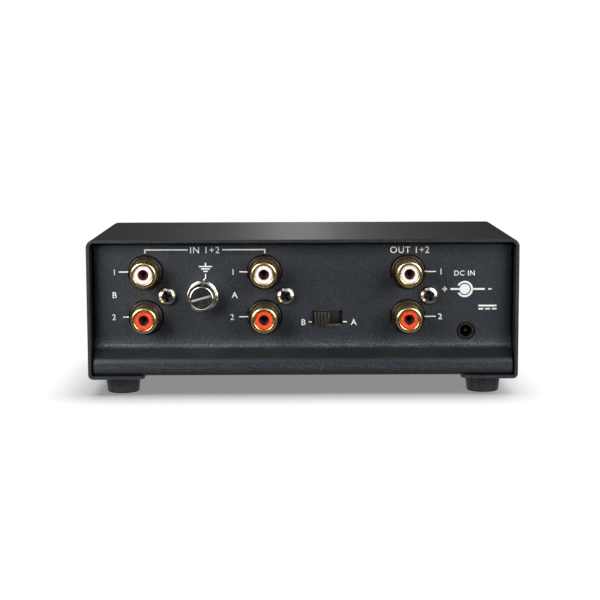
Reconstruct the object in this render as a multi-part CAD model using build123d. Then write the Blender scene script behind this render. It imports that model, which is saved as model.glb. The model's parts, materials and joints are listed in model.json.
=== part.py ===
from build123d import *
import os

os.makedirs("parts", exist_ok=True)

# Millimetres. X runs along the connector side, Y from the connectors to the fascia, Z up.
# The origin is on the surface that the feet stand on, below the middle of the case with its jacks.

# Case
width = 135.0
depth = 72.0
cover_height = 44.0
sheet = 1.0
fascia_thickness = 3.2
fascia_edge = 0.5
cover_top_radius = 2.4
cover_bottom_radius = 1.5
flange_width = 17.5
flange_corner = 3.0

# Tray: floor, joggled connector panel and front flange, folded from one sheet
slide_gap = 0.2  # between the tray and the cover it slides into
panel_recess = 5.5  # cover's rear edge to the flat of the connector panel
lip_setback = 0.8  # cover's rear edge to the lip below the panel
lip_height = 4.9
panel_foot = 9.1  # tray's underside to the start of the flat panel
floor_bend = 1.5
lip_bend = 3.0
panel_bend = 1.2
return_depth = 7.0
return_foot = 11.5  # tray's underside to the side returns
relief_drop = 5.4  # panel's top to the side returns
relief_height = 2.9
relief_depth = 0.9
flange_drop = 4.0  # cover's inside to the top of the front flange

# Feet and the screws that hold cover and tray together
foot_height = 5.3
foot_top_diameter = 11.2
foot_bottom_diameter = 10.2
foot_chamfer = 0.6
foot_inset_x = 10.0
foot_inset_y = 10.0
screw_thread = 3.0
screw_head = 5.6
screw_head_height = 2.0
screw_gap = 0.1  # radial, screw to its hole
pan_rim = 0.5  # share of a pan head's height that stands straight
pan_top = 0.7  # share of its width that is flat on top
foot_floor = 2.3  # rubber between the screw head and the cover
nut_flats = 5.5
nut_height = 2.2

# Circuit board
board_thickness = 1.6
board_side_gap = 4.5
board_rear_gap = 0.3
board_front_gap = 2.8
board_corner = 2.0
standoff_height = 7.1
standoff_flats = 5.5
standoff_inset_x = 6.0
board_screw_grip = 4.5
standoff_front = 13.0  # board's front edge to the standoffs
lead_size = 0.8
lead_gap = 0.1
lead_below_board = 1.0

# Signal jacks: three columns of two
jack_columns = {"mc": -49.5, "mm": -12.1, "out": 33.1}
jack_height = 8.35  # board to the lower jack's axis
jack_pitch = 14.25
shell_diameter = 8.3
shell_flange_diameter = 10.35
shell_flange_proud = 1.5
shell_length = 9.0  # panel face to the shell's rim
shell_tail = 5.0
shell_tail_diameter = 7.0
insert_diameter = 5.7
insert_recess = 0.5
pin_hole = 3.35
contact_length = 11.0
contact_leaf = 0.4
contact_width = 2.6
fit_gap = 0.03  # radial, for pieces pressed together
panel_hole_gap = 0.42
housing_width = 12.0
housing_depth = 12.5
housing_top = 6.0  # upper jack's axis to the housing's top
housing_edge = 0.6
core_depth = 4.0
core_size = 8.5
lower_lead_gap = 1.2  # housing's back to the lower contact's lead
upper_lead_gap = 2.8
strap_width = 1.4
strap_thickness = 0.4
ear_offset = 6.7
ear_width = 6.4
ear_depth = 8.0
jack_screw_drop = 0.35  # screw below the middle of its two jacks
jack_screw_thread = 2.5
jack_screw_length = 6.5
jack_screw_head = 6.0
jack_screw_head_height = 1.9
jack_screw_turns = (12.0, 38.0, 20.0)
cross_width = 0.9
cross_span = 3.6
cross_depth = 1.1

# Earth terminal
ground_x = -31.6
ground_height = 15.1  # board to the terminal's axis
bush_flange = 10.0
bush_flange_thickness = 1.2
bush_diameter = 6.0
bush_inside = 6.0  # panel's back to the end of the bush
ground_thread = 4.0
ground_thread_gap = 0.05
ground_thread_length = 7.4
ground_washer_diameter = 9.6
ground_washer_thickness = 0.8
ground_head_diameter = 8.9
ground_head_face = 7.1
ground_head_length = 5.0
ground_head_shoulder = 1.1
ground_slot_width = 0.8
ground_slot_depth = 1.2
ground_slot_angle = 13.0
ground_nut_flats = 8.0
ground_nut_thickness = 2.5
lug_thickness = 0.5
lug_diameter = 8.4
lug_tail_width = 2.4

# Slide switch
switch_x = 7.8
switch_height = 8.0  # board to the switch's axis
window_width = 9.3
window_height = 5.1
can_window_height = 4.15
knob_width = 4.8
knob_height = 3.95
knob_proud = 1.5
knob_end_gap = 0.45
knob_grooves = 4
knob_groove_pitch = 1.05
knob_groove_width = 0.52
knob_groove_depth = 0.5
knob_chamfer = 0.2
can_height = 6.6
can_depth = 4.4
can_wall = 0.4
can_leg = 1.0
terminal_reach = 1.2  # can's open side to the lower row of terminal leads
slider_thickness = 1.7
slider_overlap = 0.3  # slider past the window's ends, so that the can stays closed
slider_gap = 0.2
wafer_thickness = 1.2
wiper_foot = 0.8
wiper_slope = 0.7
wiper_height = 1.2
wiper_thickness = 0.25
wiper_gap = 0.1
pole_offset = 1.4

# Direct-current socket
socket_x = 51.6
socket_height = 3.7  # board to the socket's axis
socket_hole = 5.9
socket_snout = 4.9
socket_bore = 3.9
socket_bore_depth = 9.0
socket_recess = 0.3
socket_width = 8.0
socket_depth = 11.0
socket_body_height = 7.6
socket_pin = 1.3
socket_pin_recess = 1.2
socket_pin_reach = 2.6  # housing's back to the lead
spring_width = 1.6
spring_thickness = 0.3
spring_reach = 1.2
spring_bump = 0.25
spring_bump_start = 2.0
spring_bump_length = 1.2

# Power lamp
lamp_diameter = 3.0
lamp_rim_diameter = 3.9
lamp_rim = 1.0
lamp_gap = 0.1
lamp_setback = 0.1
lamp_dome = 1.1
lamp_tip = 1.6
lamp_lead_spread = 1.27
lamp_lead = 0.5
lamp_lead_inset = 1.4

# Fascia screws
fascia_screw_x = 45.0
fascia_screw_thread = 2.5
fascia_screw_depth = 2.2

# Parts on the board
parts_rear = 24.0  # board's rear edge to the first row behind the connectors
part_edge = 0.3
film_x = -36.0
film_size = (7.2, 3.0, 7.0)
film_pitch = (9.4, 11.0)
film_columns = 4
can_cap_x = 20.0
can_cap_diameter = 8.0
can_cap_height = 11.5
can_cap_pitch = 11.0
chip_standoff = 0.1
chip_leg_width = 0.4
chip_leg_length = 1.0
chip_leg_thickness = 0.2
amplifier_body = (4.9, 3.9, 1.5)
amplifier_leg_pitch = 1.27
amplifier_front = 13.0  # board's front edge to the row
amplifier_pitch = 14.0
amplifier_count = 4
transistor_body = (2.9, 1.3, 1.0)
transistor_leg_pitch = 1.9
transistor_x = -44.8
transistor_pitch = 7.0
resistor_size = (3.2, 1.6, 0.6)
resistor_pitch = (4.2, 3.4)
resistor_front = 4.0
resistor_columns = 10
regulator_x = 49.6
regulator_size = (6.6, 6.1, 2.3)
regulator_tab = (5.4, 1.5, 0.5)
diode_size = (4.3, 2.6, 2.1)

# Levels and planes that the pieces share
case_top = foot_height + cover_height
cover_inside = case_top - sheet
cover_half = width / 2 - sheet
tray_under = foot_height + sheet
floor_top = tray_under + sheet
tray_half = cover_half - slide_gap
tray_edge = (cover_top_radius - sheet) / 2 - slide_gap  # clears the cover's inner corners
rear_edge = (shell_length - panel_recess - depth) / 2
front_face = rear_edge + depth
fascia_back = front_face - fascia_thickness
panel_face = rear_edge + panel_recess
panel_back = panel_face + sheet
panel_top = cover_inside - slide_gap
flange_inside = fascia_back - sheet
board_under = floor_top + standoff_height
board_top = board_under + board_thickness
board_rear = panel_back + board_rear_gap
board_front = flange_inside - board_front_gap
board_half = cover_half - board_side_gap
lead_end = board_under - lead_below_board
lower_jack = board_top + jack_height
upper_jack = lower_jack + jack_pitch
jack_screw_z = (lower_jack + upper_jack) / 2 - jack_screw_drop
housing_back = panel_back + housing_depth
ground_z = board_top + ground_height
switch_z = board_top + switch_height
socket_z = board_top + socket_height
lamp_z = foot_height + cover_height / 2
housing_roof = upper_jack + housing_top
panel_hole = shell_flange_diameter + 2 * panel_hole_gap
contact_outside = pin_hole + 2 * contact_leaf
clearance_hole = screw_thread + 4 * screw_gap
knob_travel = window_width - knob_width - 2 * knob_end_gap
knob_x = switch_x - knob_travel / 2
slider_width = knob_width + 2 * (knob_travel + slider_overlap)
can_width = slider_width + knob_travel + 2 * (can_wall + slider_gap)
foot_spots = [
    (x * (width / 2 - foot_inset_x), y)
    for y in (rear_edge + foot_inset_y, front_face - foot_inset_y)
    for x in (-1, 1)
]
standoff_spots = [(x * (board_half - standoff_inset_x), board_front - standoff_front) for x in (-1, 1)]
jack_axes = [(x, z) for x in jack_columns.values() for z in (upper_jack, lower_jack)]
lead_spots = []  # centres of the leads that pass through the board, filled as the parts are made


def outward(x, z, out=0.0):
    """Plane on the connector panel's face: its X is along the panel, its Y up, its Z out of the case."""
    return Plane(origin=(x, panel_face - out, z), x_dir=(1, 0, 0), z_dir=(0, -1, 0))


def inward(x, z, y):
    """Plane parallel to the panel at depth y, with its Z towards the fascia."""
    return Plane(origin=(x, y, z), x_dir=(1, 0, 0), z_dir=(0, 1, 0))


def turned(*corners):
    """Solid of revolution about Z through (radius, height) corners."""
    outline = Polyline(*[(radius, 0, height) for radius, height in corners], close=True)
    return revolve(make_face(outline), Axis.Z)


def tube(outer, inner, low, high):
    return turned((inner / 2, low), (outer / 2, low), (outer / 2, high), (inner / 2, high))


def disc(diameter, low, high):
    return turned((0, low), (diameter / 2, low), (diameter / 2, high), (0, high))


def block(low, high):
    """Box between two opposite corners."""
    size = [b - a for a, b in zip(low, high)]
    return Pos(*low) * Box(*size, align=Align.MIN)


def post(x, y, low, high, side=lead_size):
    """Square upright centred on x, y."""
    return block((x - side / 2, y - side / 2, low), (x + side / 2, y + side / 2, high))


def lead(x, y, top, side=lead_size):
    """Square lead from a height down through the board."""
    lead_spots.append((x, y, side))
    return post(x, y, lead_end, top, side)


def bent_lead(x, start, back, z, side=lead_size):
    """Lead that leaves a part at y=start, runs to y=back and turns down through the board."""
    near, far = sorted((start, back))
    run = block((x - side / 2, near, z - side / 2), (x + side / 2, far, z + side / 2))
    drop = lead(x, back - side / 2 if back > start else back + side / 2, z + side / 2, side)
    return run + drop


def edge_leg(x, thickness):
    """Flat leg against the panel that passes the board's rear edge in a notch."""
    lead_spots.append((x, panel_back + thickness / 2, lead_size))
    half = lead_size / 2
    return block((x - half, panel_back, lead_end), (x + half, panel_back + thickness, board_top + lead_size))


def folded(points, radii):
    """Section of a folded sheet: the outer line, with the sheet on its right."""
    outer = FilletPolyline(*points, radius=radii)
    return make_face(offset(outer, amount=sheet, side=Side.RIGHT))


def case_outline():
    """Outer outline of the case seen from the connector side."""
    half = width / 2
    corners = [(-half, foot_height), (-half, case_top), (half, case_top), (half, foot_height)]
    radii = [cover_bottom_radius, cover_top_radius, cover_top_radius, cover_bottom_radius]
    return make_face(FilletPolyline(*corners, radius=radii, close=True))


def cross_recess(top):
    """Cross slot cut into a screw head whose top is at a height."""
    arm = Box(cross_span, cross_width, cross_depth)
    return Pos(0, 0, top - cross_depth / 2) * (arm + Rot(0, 0, 90) * arm)


def pan_screw(thread, length, head, head_height):
    """Pan-head screw: seat at Z=0, head above, shank below."""
    return turned(
        (0, -length),
        (thread / 2, -length),
        (thread / 2, 0),
        (head / 2, 0),
        (head / 2, head_height * pan_rim),
        (head / 2 * pan_top, head_height),
        (0, head_height),
    )


def make_cover():
    half = width / 2
    section = folded(
        [
            (-half + flange_width, foot_height),
            (-half, foot_height),
            (-half, case_top),
            (half, case_top),
            (half, foot_height),
            (half - flange_width, foot_height),
        ],
        [cover_bottom_radius, cover_top_radius, cover_top_radius, cover_bottom_radius],
    )
    cover = extrude(Plane.XZ.offset(-rear_edge) * section, amount=rear_edge - fascia_back)
    inner = half - flange_width
    corners = [
        edge
        for edge in cover.edges().filter_by(Axis.Z)
        if abs(abs(edge.center().X) - inner) < 0.01
    ]
    cover = fillet(corners, flange_corner)
    for x, y in foot_spots:
        cover -= Pos(x, y, foot_height) * Cylinder(clearance_hole / 2, 4 * sheet)
    return cover


def panel_openings():
    """Everything that is punched through the connector panel."""
    cut = Part()
    for x, z in jack_axes:
        cut += outward(x, z) * Cylinder(panel_hole / 2, 4 * sheet)
    for x in jack_columns.values():
        cut += outward(x + ear_offset, jack_screw_z) * Cylinder(jack_screw_thread / 2 + screw_gap, 4 * sheet)
    cut += outward(ground_x, ground_z) * Cylinder(bush_diameter / 2 + screw_gap, 4 * sheet)
    cut += outward(socket_x, socket_z) * Cylinder(socket_hole / 2, 4 * sheet)
    cut += outward(switch_x, switch_z) * Box(window_width, window_height, 4 * sheet)
    return cut


def side_return(side):
    """Edge of the panel folded towards the fascia."""
    edge = side * tray_half
    points = [
        (edge - side * 2 * floor_bend, panel_face),
        (edge, panel_face),
        (edge, panel_face + return_depth),
    ]
    outer = FilletPolyline(*points, radius=floor_bend)
    section = make_face(offset(outer, amount=sheet, side=Side.LEFT if side > 0 else Side.RIGHT))
    low = tray_under + return_foot
    return extrude(Pos(0, 0, low) * section, amount=panel_top - relief_drop - low)


def relief(side):
    """Corner relief between the side return and the top return."""
    edge = side * tray_half
    low = panel_top - relief_drop
    outline = Polyline(
        (edge + side * sheet, low),
        (edge, low),
        (edge - side * relief_depth, low + relief_height * 0.5),
        (edge - side * relief_depth * 0.5, low + relief_height),
        (edge + side * sheet, low + relief_height),
        close=True,
    )
    return extrude(Plane.XZ.offset(-panel_face) * make_face(outline), amount=sheet, both=True)


def make_tray():
    section = folded(
        [
            (fascia_back, cover_inside - flange_drop),
            (fascia_back, tray_under),
            (rear_edge + lip_setback, tray_under),
            (rear_edge + lip_setback, tray_under + lip_height),
            (panel_face, tray_under + panel_foot),
            (panel_face, panel_top),
            (panel_face + return_depth, panel_top),
        ],
        [floor_bend, floor_bend, lip_bend, panel_bend, floor_bend],
    )
    tray = extrude(Plane.YZ * section, amount=tray_half, both=True)
    corners = [
        edge
        for edge in tray.edges().filter_by(Axis.Y).group_by(Axis.Z)[0]
        if abs(edge.center().X) > tray_half - 0.01
    ]
    tray = chamfer(corners, tray_edge)
    low = tray_under + return_foot
    high = panel_top - relief_drop
    for side in (-1, 1):
        bend = Pos(side * tray_half, panel_face, (low + high) / 2)
        tray -= bend * Box(2 * floor_bend, 4 * sheet, high - low)
        tray += side_return(side)
        tray -= relief(side)
    tray -= panel_openings()
    for x in jack_columns.values():
        tray -= block(*housing_corners(x, screw_gap))
    for x, y in foot_spots:
        tray -= Pos(x, y, tray_under) * Cylinder(clearance_hole / 2, 4 * sheet)
    for x in (-fascia_screw_x, fascia_screw_x):
        tray -= inward(x, lamp_z, flange_inside) * Cylinder(fascia_screw_thread / 2 + screw_gap, 4 * sheet)
    tray -= inward(0, lamp_z, flange_inside) * Cylinder(lamp_diameter / 2 + lamp_gap, 4 * sheet)
    return tray


def make_fascia():
    plate = extrude(Plane.XZ.offset(-fascia_back) * case_outline(), amount=-fascia_thickness)
    front = plate.faces().sort_by(Axis.Y)[-1]
    plate = chamfer(front.edges(), fascia_edge)
    plate -= inward(0, lamp_z, fascia_back) * Cylinder(lamp_diameter / 2 + lamp_gap, 4 * fascia_thickness)
    for x in (-fascia_screw_x, fascia_screw_x):
        hole = Cylinder(fascia_screw_thread / 2 + screw_gap, 2 * fascia_screw_depth)
        plate -= inward(x, lamp_z, fascia_back) * hole
    return plate


def make_foot(x, y):
    """Tapered rubber foot with a pocket for its screw head."""
    foot = turned(
        (screw_thread / 2 + screw_gap, foot_height),
        (foot_top_diameter / 2, foot_height),
        (foot_bottom_diameter / 2, foot_chamfer),
        (foot_bottom_diameter / 2 - foot_chamfer, 0),
        (screw_head / 2 + 2 * screw_gap, 0),
        (screw_head / 2 + 2 * screw_gap, foot_height - foot_floor),
        (screw_thread / 2 + screw_gap, foot_height - foot_floor),
    )
    return Pos(x, y) * foot


def make_foot_screws():
    length = foot_floor + 2 * sheet + nut_height
    screw = pan_screw(screw_thread, length, screw_head, screw_head_height)
    return [Pos(x, y, foot_height - foot_floor) * Rot(180, 0, 0) * screw for x, y in foot_spots]


def make_tray_nuts():
    nut = hexagon(nut_flats, screw_thread + 2 * screw_gap, nut_height)
    return [Pos(x, y, floor_top) * nut for x, y in foot_spots]


def hexagon(flats, bore, height):
    """Hexagonal nut or standoff on Z=0."""
    body = extrude(RegularPolygon(flats / 2, 6, major_radius=False), height)
    return body - Cylinder(bore / 2, 4 * height)


def make_standoffs():
    body = hexagon(standoff_flats, screw_thread + 2 * screw_gap, standoff_height)
    return [Pos(x, y, floor_top) * body for x, y in standoff_spots]


def make_board_screws():
    length = board_thickness + board_screw_grip
    screw = pan_screw(screw_thread, length, screw_head, screw_head_height)
    return [Pos(x, y, board_top) * screw for x, y in standoff_spots]


def make_fascia_screws():
    length = sheet + fascia_screw_depth - 2 * screw_gap
    screw = pan_screw(fascia_screw_thread, length, 2 * fascia_screw_thread, screw_head_height)
    out = Rot(90, 0, 0)
    return [Pos(x, flange_inside, lamp_z) * out * screw for x in (-fascia_screw_x, fascia_screw_x)]


def make_jack_shell():
    """Outer contact of a jack, drawn with the panel's face at Z=0."""
    tail = -sheet - shell_tail
    return turned(
        (insert_diameter / 2 + fit_gap, tail),
        (insert_diameter / 2 + fit_gap, shell_length),
        (shell_diameter / 2, shell_length),
        (shell_diameter / 2, shell_flange_proud),
        (shell_flange_diameter / 2, shell_flange_proud),
        (shell_flange_diameter / 2, -sheet),
        (shell_tail_diameter / 2, -sheet),
        (shell_tail_diameter / 2, tail),
    )


def make_jack_insert():
    """Insulator pressed into the shell, with the hole that guides the plug's pin."""
    end = -sheet - shell_tail
    mouth = shell_length - insert_recess
    pocket = Pos(0, 0, end) * Box(contact_outside, contact_width, 2 * contact_length)
    return tube(insert_diameter, pin_hole, end, mouth) - pocket


def make_jack_contact(x, z, back):
    """Centre contact: a fork of two leaves for the plug's pin, on a lead down to the board."""
    end = -sheet - shell_tail
    low = Pos(0, 0, end)
    fork = low * Box(contact_outside, contact_width, contact_length, align=(Align.CENTER, Align.CENTER, Align.MIN))
    fork -= Pos(0, 0, end + contact_leaf) * Box(
        pin_hole, 2 * contact_width, contact_length, align=(Align.CENTER, Align.CENTER, Align.MIN)
    )
    return outward(x, z) * fork + bent_lead(x, panel_face - end - contact_leaf, back, z)


def housing_corners(x, gap):
    """Corners of a jack block, grown by a gap except against the panel."""
    half = housing_width / 2 + gap
    return (x - half, panel_back, board_top - gap), (x + half, housing_back + gap, housing_roof + gap)


def make_jack_housing(x):
    """Moulded block that holds one column of two jacks and the boss for the panel screw."""
    body = block(*housing_corners(x, 0))
    body = chamfer(body.edges().filter_by(Axis.Y), housing_edge)
    ear = inward(x + ear_offset, jack_screw_z, panel_back)
    body += ear * Box(ear_width, ear_width, ear_depth, align=(Align.CENTER, Align.CENTER, Align.MIN))
    body -= ear * disc(jack_screw_thread + 2 * screw_gap, 0, jack_screw_length + screw_gap)
    pocket = shell_tail_diameter + 2 * fit_gap
    for z in (lower_jack, upper_jack):
        axis = inward(x, z, panel_back)
        body -= axis * Box(pocket, pocket, 2 * shell_tail)
        body -= axis * Pos(0, 0, housing_depth) * Box(core_size, core_size, 2 * core_depth)
        body -= axis * Box(2 * lead_size, 2 * lead_size, 4 * housing_depth)
    return body - block(*strap_corners(x, fit_gap))


def strap_corners(x, gap):
    """Corners of the strip that runs beside the shell tails, under their flanges."""
    centre = x - (shell_tail_diameter + strap_width) / 2 - 2 * fit_gap
    half = strap_width / 2 + gap
    return (centre - half, panel_back, board_top), (centre + half, panel_back + strap_thickness, upper_jack)


def make_jack_strap(x):
    """Strip behind the flanges that joins the shells of a column and earths them to the board."""
    low, high = strap_corners(x, 0)
    return block(low, high) + edge_leg((low[0] + high[0]) / 2, strap_thickness)


def make_ground_bush():
    bore = ground_thread / 2
    inner = -sheet - bush_inside
    return outward(ground_x, ground_z) * turned(
        (bore, inner),
        (bush_diameter / 2, inner),
        (bush_diameter / 2, 0),
        (bush_flange / 2, 0),
        (bush_flange / 2, bush_flange_thickness),
        (bore, bush_flange_thickness),
    )


def make_ground_lug():
    """Solder lug behind the panel, with a tail down to the board."""
    half = lug_tail_width / 2
    lug = inward(ground_x, ground_z, panel_back) * disc(lug_diameter, 0, lug_thickness)
    lug += block(
        (ground_x - half, panel_back, board_top), (ground_x + half, panel_back + lug_thickness, ground_z)
    )
    lug += edge_leg(ground_x, lug_thickness)
    lug -= inward(ground_x, ground_z, panel_back) * Cylinder(bush_diameter / 2 + fit_gap, 6 * sheet)
    return lug


def make_ground_nut():
    nut = hexagon(ground_nut_flats, bush_diameter + 2 * fit_gap, ground_nut_thickness)
    return inward(ground_x, ground_z, panel_back + lug_thickness) * nut


def make_ground_washer():
    """Washer that stays on the screw and clamps the earth wire's spade."""
    bore = ground_thread + 2 * screw_gap
    washer = tube(ground_washer_diameter, bore, 0, ground_washer_thickness)
    return outward(ground_x, ground_z, bush_flange_thickness) * washer


def make_ground_screw():
    """Thumb screw with a rounded, slotted head."""
    seat = ground_washer_thickness
    rim = ground_head_diameter / 2
    face = ground_head_face / 2
    top = seat + ground_head_length
    shank = ground_thread / 2 - ground_thread_gap
    screw = turned(
        (0, seat - ground_thread_length),
        (shank, seat - ground_thread_length),
        (shank, seat),
        (rim, seat),
        (rim, top - ground_head_shoulder),
        (face, top),
        (0, top),
    )
    slot = Box(3 * rim, ground_slot_width, 2 * ground_slot_depth)
    screw -= Pos(0, 0, top) * Rot(0, 0, ground_slot_angle) * slot
    return outward(ground_x, ground_z, bush_flange_thickness) * screw


def switch_box(width_, height_, front, back):
    """Block centred on the switch's axis between two depths behind the panel."""
    low = (switch_x - width_ / 2, panel_back + front, switch_z - height_ / 2)
    high = (switch_x + width_ / 2, panel_back + back, switch_z + height_ / 2)
    return block(low, high)


def make_switch_can():
    """Pressed can with a window for the knob and two legs through the board."""
    inner = 2 * can_wall
    can = switch_box(can_width, can_height, 0, can_depth)
    can -= switch_box(can_width - inner, can_height - inner, can_wall, 2 * can_depth)
    can -= switch_box(window_width, can_window_height, -can_wall, 2 * can_wall)
    for side in (-1, 1):
        x = switch_x + side * (can_width - can_wall) / 2
        y = panel_back + can_depth / 2
        lead_spots.append((x, y, can_leg))
        low = (x - can_wall / 2, y - can_leg / 2, lead_end)
        can += block(low, (x + can_wall / 2, y + can_leg / 2, switch_z))
    return can


def wafer_front():
    return can_depth - wafer_thickness


def terminal_columns():
    """Places of the fixed contacts along the switch: left, common and right."""
    return [switch_x + step * knob_travel for step in (-1, 0, 1)]


def make_switch_wafer():
    wafer = switch_box(can_width - 2 * can_wall, can_height - 2 * can_wall, wafer_front(), can_depth)
    for x in terminal_columns():
        for side in (-1, 1):
            z = switch_z + side * pole_offset
            wafer -= Pos(x, panel_back + can_depth, z) * Box(lead_size, 4 * wafer_thickness, lead_size)
    return wafer


def make_switch_terminals():
    terminals = []
    for x in terminal_columns():
        for side in (-1, 1):
            z = switch_z + side * pole_offset
            back = panel_back + can_depth + terminal_reach + (side + 1) * lead_size
            terminals.append(bent_lead(x, panel_back + wafer_front(), back, z))
    return terminals


def make_switch_slider():
    """Slider block inside the can and the ribbed knob that stands out of the panel."""
    shift = Pos(-knob_travel / 2, 0, 0)
    front = can_wall + slider_gap / 2
    inside = can_height - 2 * can_wall - 2 * slider_gap
    slab = switch_box(slider_width, inside, front, front + slider_thickness)
    knob = switch_box(knob_width, knob_height, -sheet - knob_proud, front)
    knob = chamfer(knob.faces().sort_by(Axis.Y)[0].edges(), knob_chamfer)
    slider = slab + knob
    for step in range(knob_grooves):
        x = switch_x + (step - (knob_grooves - 1) / 2) * knob_groove_pitch
        groove = Box(knob_groove_width, 2 * knob_groove_depth, 2 * knob_height)
        slider -= Pos(x, panel_face - knob_proud, switch_z) * groove
    return shift * slider


def make_switch_wipers():
    """Two sprung bridges on the back of the slider, one for each channel."""
    low = panel_back + can_wall + slider_gap / 2 + slider_thickness
    high = panel_back + wafer_front() - wiper_gap - wiper_thickness
    span = knob_travel / 2 + wiper_foot / 2
    points = [
        (-span, high),
        (-span + wiper_foot, high),
        (-span + wiper_foot + wiper_slope, low),
        (span - wiper_foot - wiper_slope, low),
        (span - wiper_foot, high),
        (span, high),
    ]
    strip = make_face(offset(Polyline(*points), amount=wiper_thickness, side=Side.LEFT, kind=Kind.INTERSECTION))
    bridge = extrude(strip, amount=wiper_height / 2, both=True)
    return [Pos(knob_x, 0, switch_z + side * pole_offset) * bridge for side in (-1, 1)]


def make_socket_housing():
    half = socket_width / 2
    low = (socket_x - half, panel_back, board_top)
    body = block(low, (socket_x + half, panel_back + socket_depth, board_top + socket_body_height))
    body = chamfer(body.edges().filter_by(Axis.Y), housing_edge)
    axis = inward(socket_x, socket_z, panel_face)
    body += axis * disc(socket_snout, socket_recess, 2 * sheet)
    body -= axis * disc(socket_bore, 0, socket_bore_depth)
    body -= block(
        (socket_x - lead_size / 2, panel_back, socket_z - lead_size / 2),
        (socket_x + lead_size / 2, panel_back + 2 * socket_depth, socket_z + lead_size / 2),
    )
    body -= spring_slot()
    return body


def spring_slot():
    """Slot below the bore for the sprung contact."""
    half = spring_width / 2 + fit_gap
    z = socket_z - socket_bore / 2
    return block(
        (socket_x - half, panel_back + 2 * sheet, z - spring_thickness),
        (socket_x + half, panel_back + 2 * socket_depth, z + spring_bump),
    )


def make_socket_pin():
    tip = panel_face + socket_pin_recess
    floor = panel_face + socket_bore_depth
    r = socket_pin / 2
    pin = inward(socket_x, socket_z, 0) * turned((0, tip), (r, tip + r), (r, floor), (0, floor))
    return pin + bent_lead(
        socket_x, floor - lead_size, panel_back + socket_depth + socket_pin_reach, socket_z
    )


def make_socket_spring():
    """Leaf that presses on the plug's barrel."""
    half = spring_width / 2
    z = socket_z - socket_bore / 2
    start = panel_back + 2 * sheet
    end = panel_back + socket_depth + spring_reach
    rise = start + spring_bump_start
    leaf = block((socket_x - half, start, z - spring_thickness), (socket_x + half, end, z))
    bump = block((socket_x - half, rise, z), (socket_x + half, rise + spring_bump_length, z + spring_bump))
    return leaf + bump + lead(socket_x, end - lead_size / 2, z)


def make_lamp():
    """Power lamp behind the fascia, on leads from the board."""
    front = front_face - lamp_setback
    r = lamp_diameter / 2
    lamp = inward(0, lamp_z, 0) * turned(
        (0, flange_inside - lamp_rim),
        (lamp_rim_diameter / 2, flange_inside - lamp_rim),
        (lamp_rim_diameter / 2, flange_inside),
        (r, flange_inside),
        (r, front - lamp_dome),
        (lamp_tip / 2, front),
        (0, front),
    )
    for side in (-1, 1):
        lamp += bent_lead(
            side * lamp_lead_spread, flange_inside - lamp_rim, board_front - lamp_lead_inset, lamp_z, lamp_lead
        )
    return lamp


def moulded(size):
    """Box on Z=0 with its top edges broken."""
    body = Box(*size, align=(Align.CENTER, Align.CENTER, Align.MIN))
    return chamfer(body.edges().group_by(Axis.Z)[-1], part_edge)


def make_film_capacitors():
    """Moulded box capacitors of the equaliser, in two rows."""
    body = moulded(film_size)
    return [
        Pos(film_x + column * film_pitch[0], board_rear + parts_rear + row * film_pitch[1], board_top) * body
        for row in (0, 1)
        for column in range(film_columns)
    ]


def make_can_capacitors():
    """Electrolytic capacitors, in two rows."""
    body = disc(can_cap_diameter, 0, can_cap_height)
    return [
        Pos(can_cap_x + column * can_cap_pitch, board_rear + parts_rear + row * can_cap_pitch, board_top) * body
        for row in (0, 1)
        for column in (0, 1)
    ]


def legged_chip(size, legs):
    """Surface-mounted chip whose legs are given as (place along the body, side)."""
    long, short, high = size
    chip = Pos(0, 0, chip_standoff + high / 2) * Box(long, short, high)
    reach = short / 2 + chip_leg_length
    for x, side in legs:
        chip += Pos(x, side * reach / 2, chip_leg_thickness / 2) * Box(chip_leg_width, reach, chip_leg_thickness)
    return chip


def make_amplifiers():
    """Eight-pin amplifier chips."""
    legs = [((step - 1.5) * amplifier_leg_pitch, side) for step in range(4) for side in (-1, 1)]
    chip = legged_chip(amplifier_body, legs)
    return [
        Pos(film_x + step * amplifier_pitch, board_front - amplifier_front, board_top) * chip
        for step in range(amplifier_count)
    ]


def make_transistors():
    """Input transistors of the low-level stage, on three legs."""
    half = transistor_leg_pitch / 2
    chip = legged_chip(transistor_body, [(-half, -1), (half, -1), (0, 1)])
    return [
        Pos(transistor_x - column * transistor_pitch, board_rear + parts_rear + row * film_pitch[1], board_top)
        * chip
        for row in (0, 1)
        for column in (0, 1)
    ]


def make_resistors():
    chip = Box(*resistor_size, align=(Align.CENTER, Align.CENTER, Align.MIN))
    return [
        Pos(film_x + step * resistor_pitch[0], board_front - resistor_front - row * resistor_pitch[1], board_top)
        * chip
        for row in (0, 1)
        for step in range(resistor_columns)
    ]


def make_regulators():
    """Surface-mounted regulators with a solder tab."""
    body = Box(*regulator_size, align=(Align.CENTER, Align.CENTER, Align.MIN))
    tab = Box(*regulator_tab, align=(Align.CENTER, Align.MIN, Align.MIN))
    body += Pos(0, regulator_size[1] / 2, 0) * tab
    return [Pos(regulator_x, board_rear + parts_rear + row * can_cap_pitch, board_top) * body for row in (0, 1)]


def make_diodes():
    body = moulded(diode_size)
    return [
        Pos(can_cap_x + step * can_cap_pitch, board_front - resistor_front, board_top) * body for step in (0, 1)
    ]


def make_board():
    """Made last, once every lead that passes through it is known."""
    outline = block((-board_half, board_rear, board_under), (board_half, board_front, board_top))
    board = fillet(outline.edges().filter_by(Axis.Z), board_corner)
    for x, y in standoff_spots:
        board -= Pos(x, y, board_top) * Cylinder(clearance_hole / 2, 4 * board_thickness)
    for x, y, side in lead_spots:
        board -= post(x, y, lead_end, board_top + lead_size, side + 2 * lead_gap)
    return board


def save(name, *solids):
    shape = solids[0] if len(solids) == 1 else Compound(children=list(solids))
    shape.label = name
    export_step(shape, f"parts/{name}.step")


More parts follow.
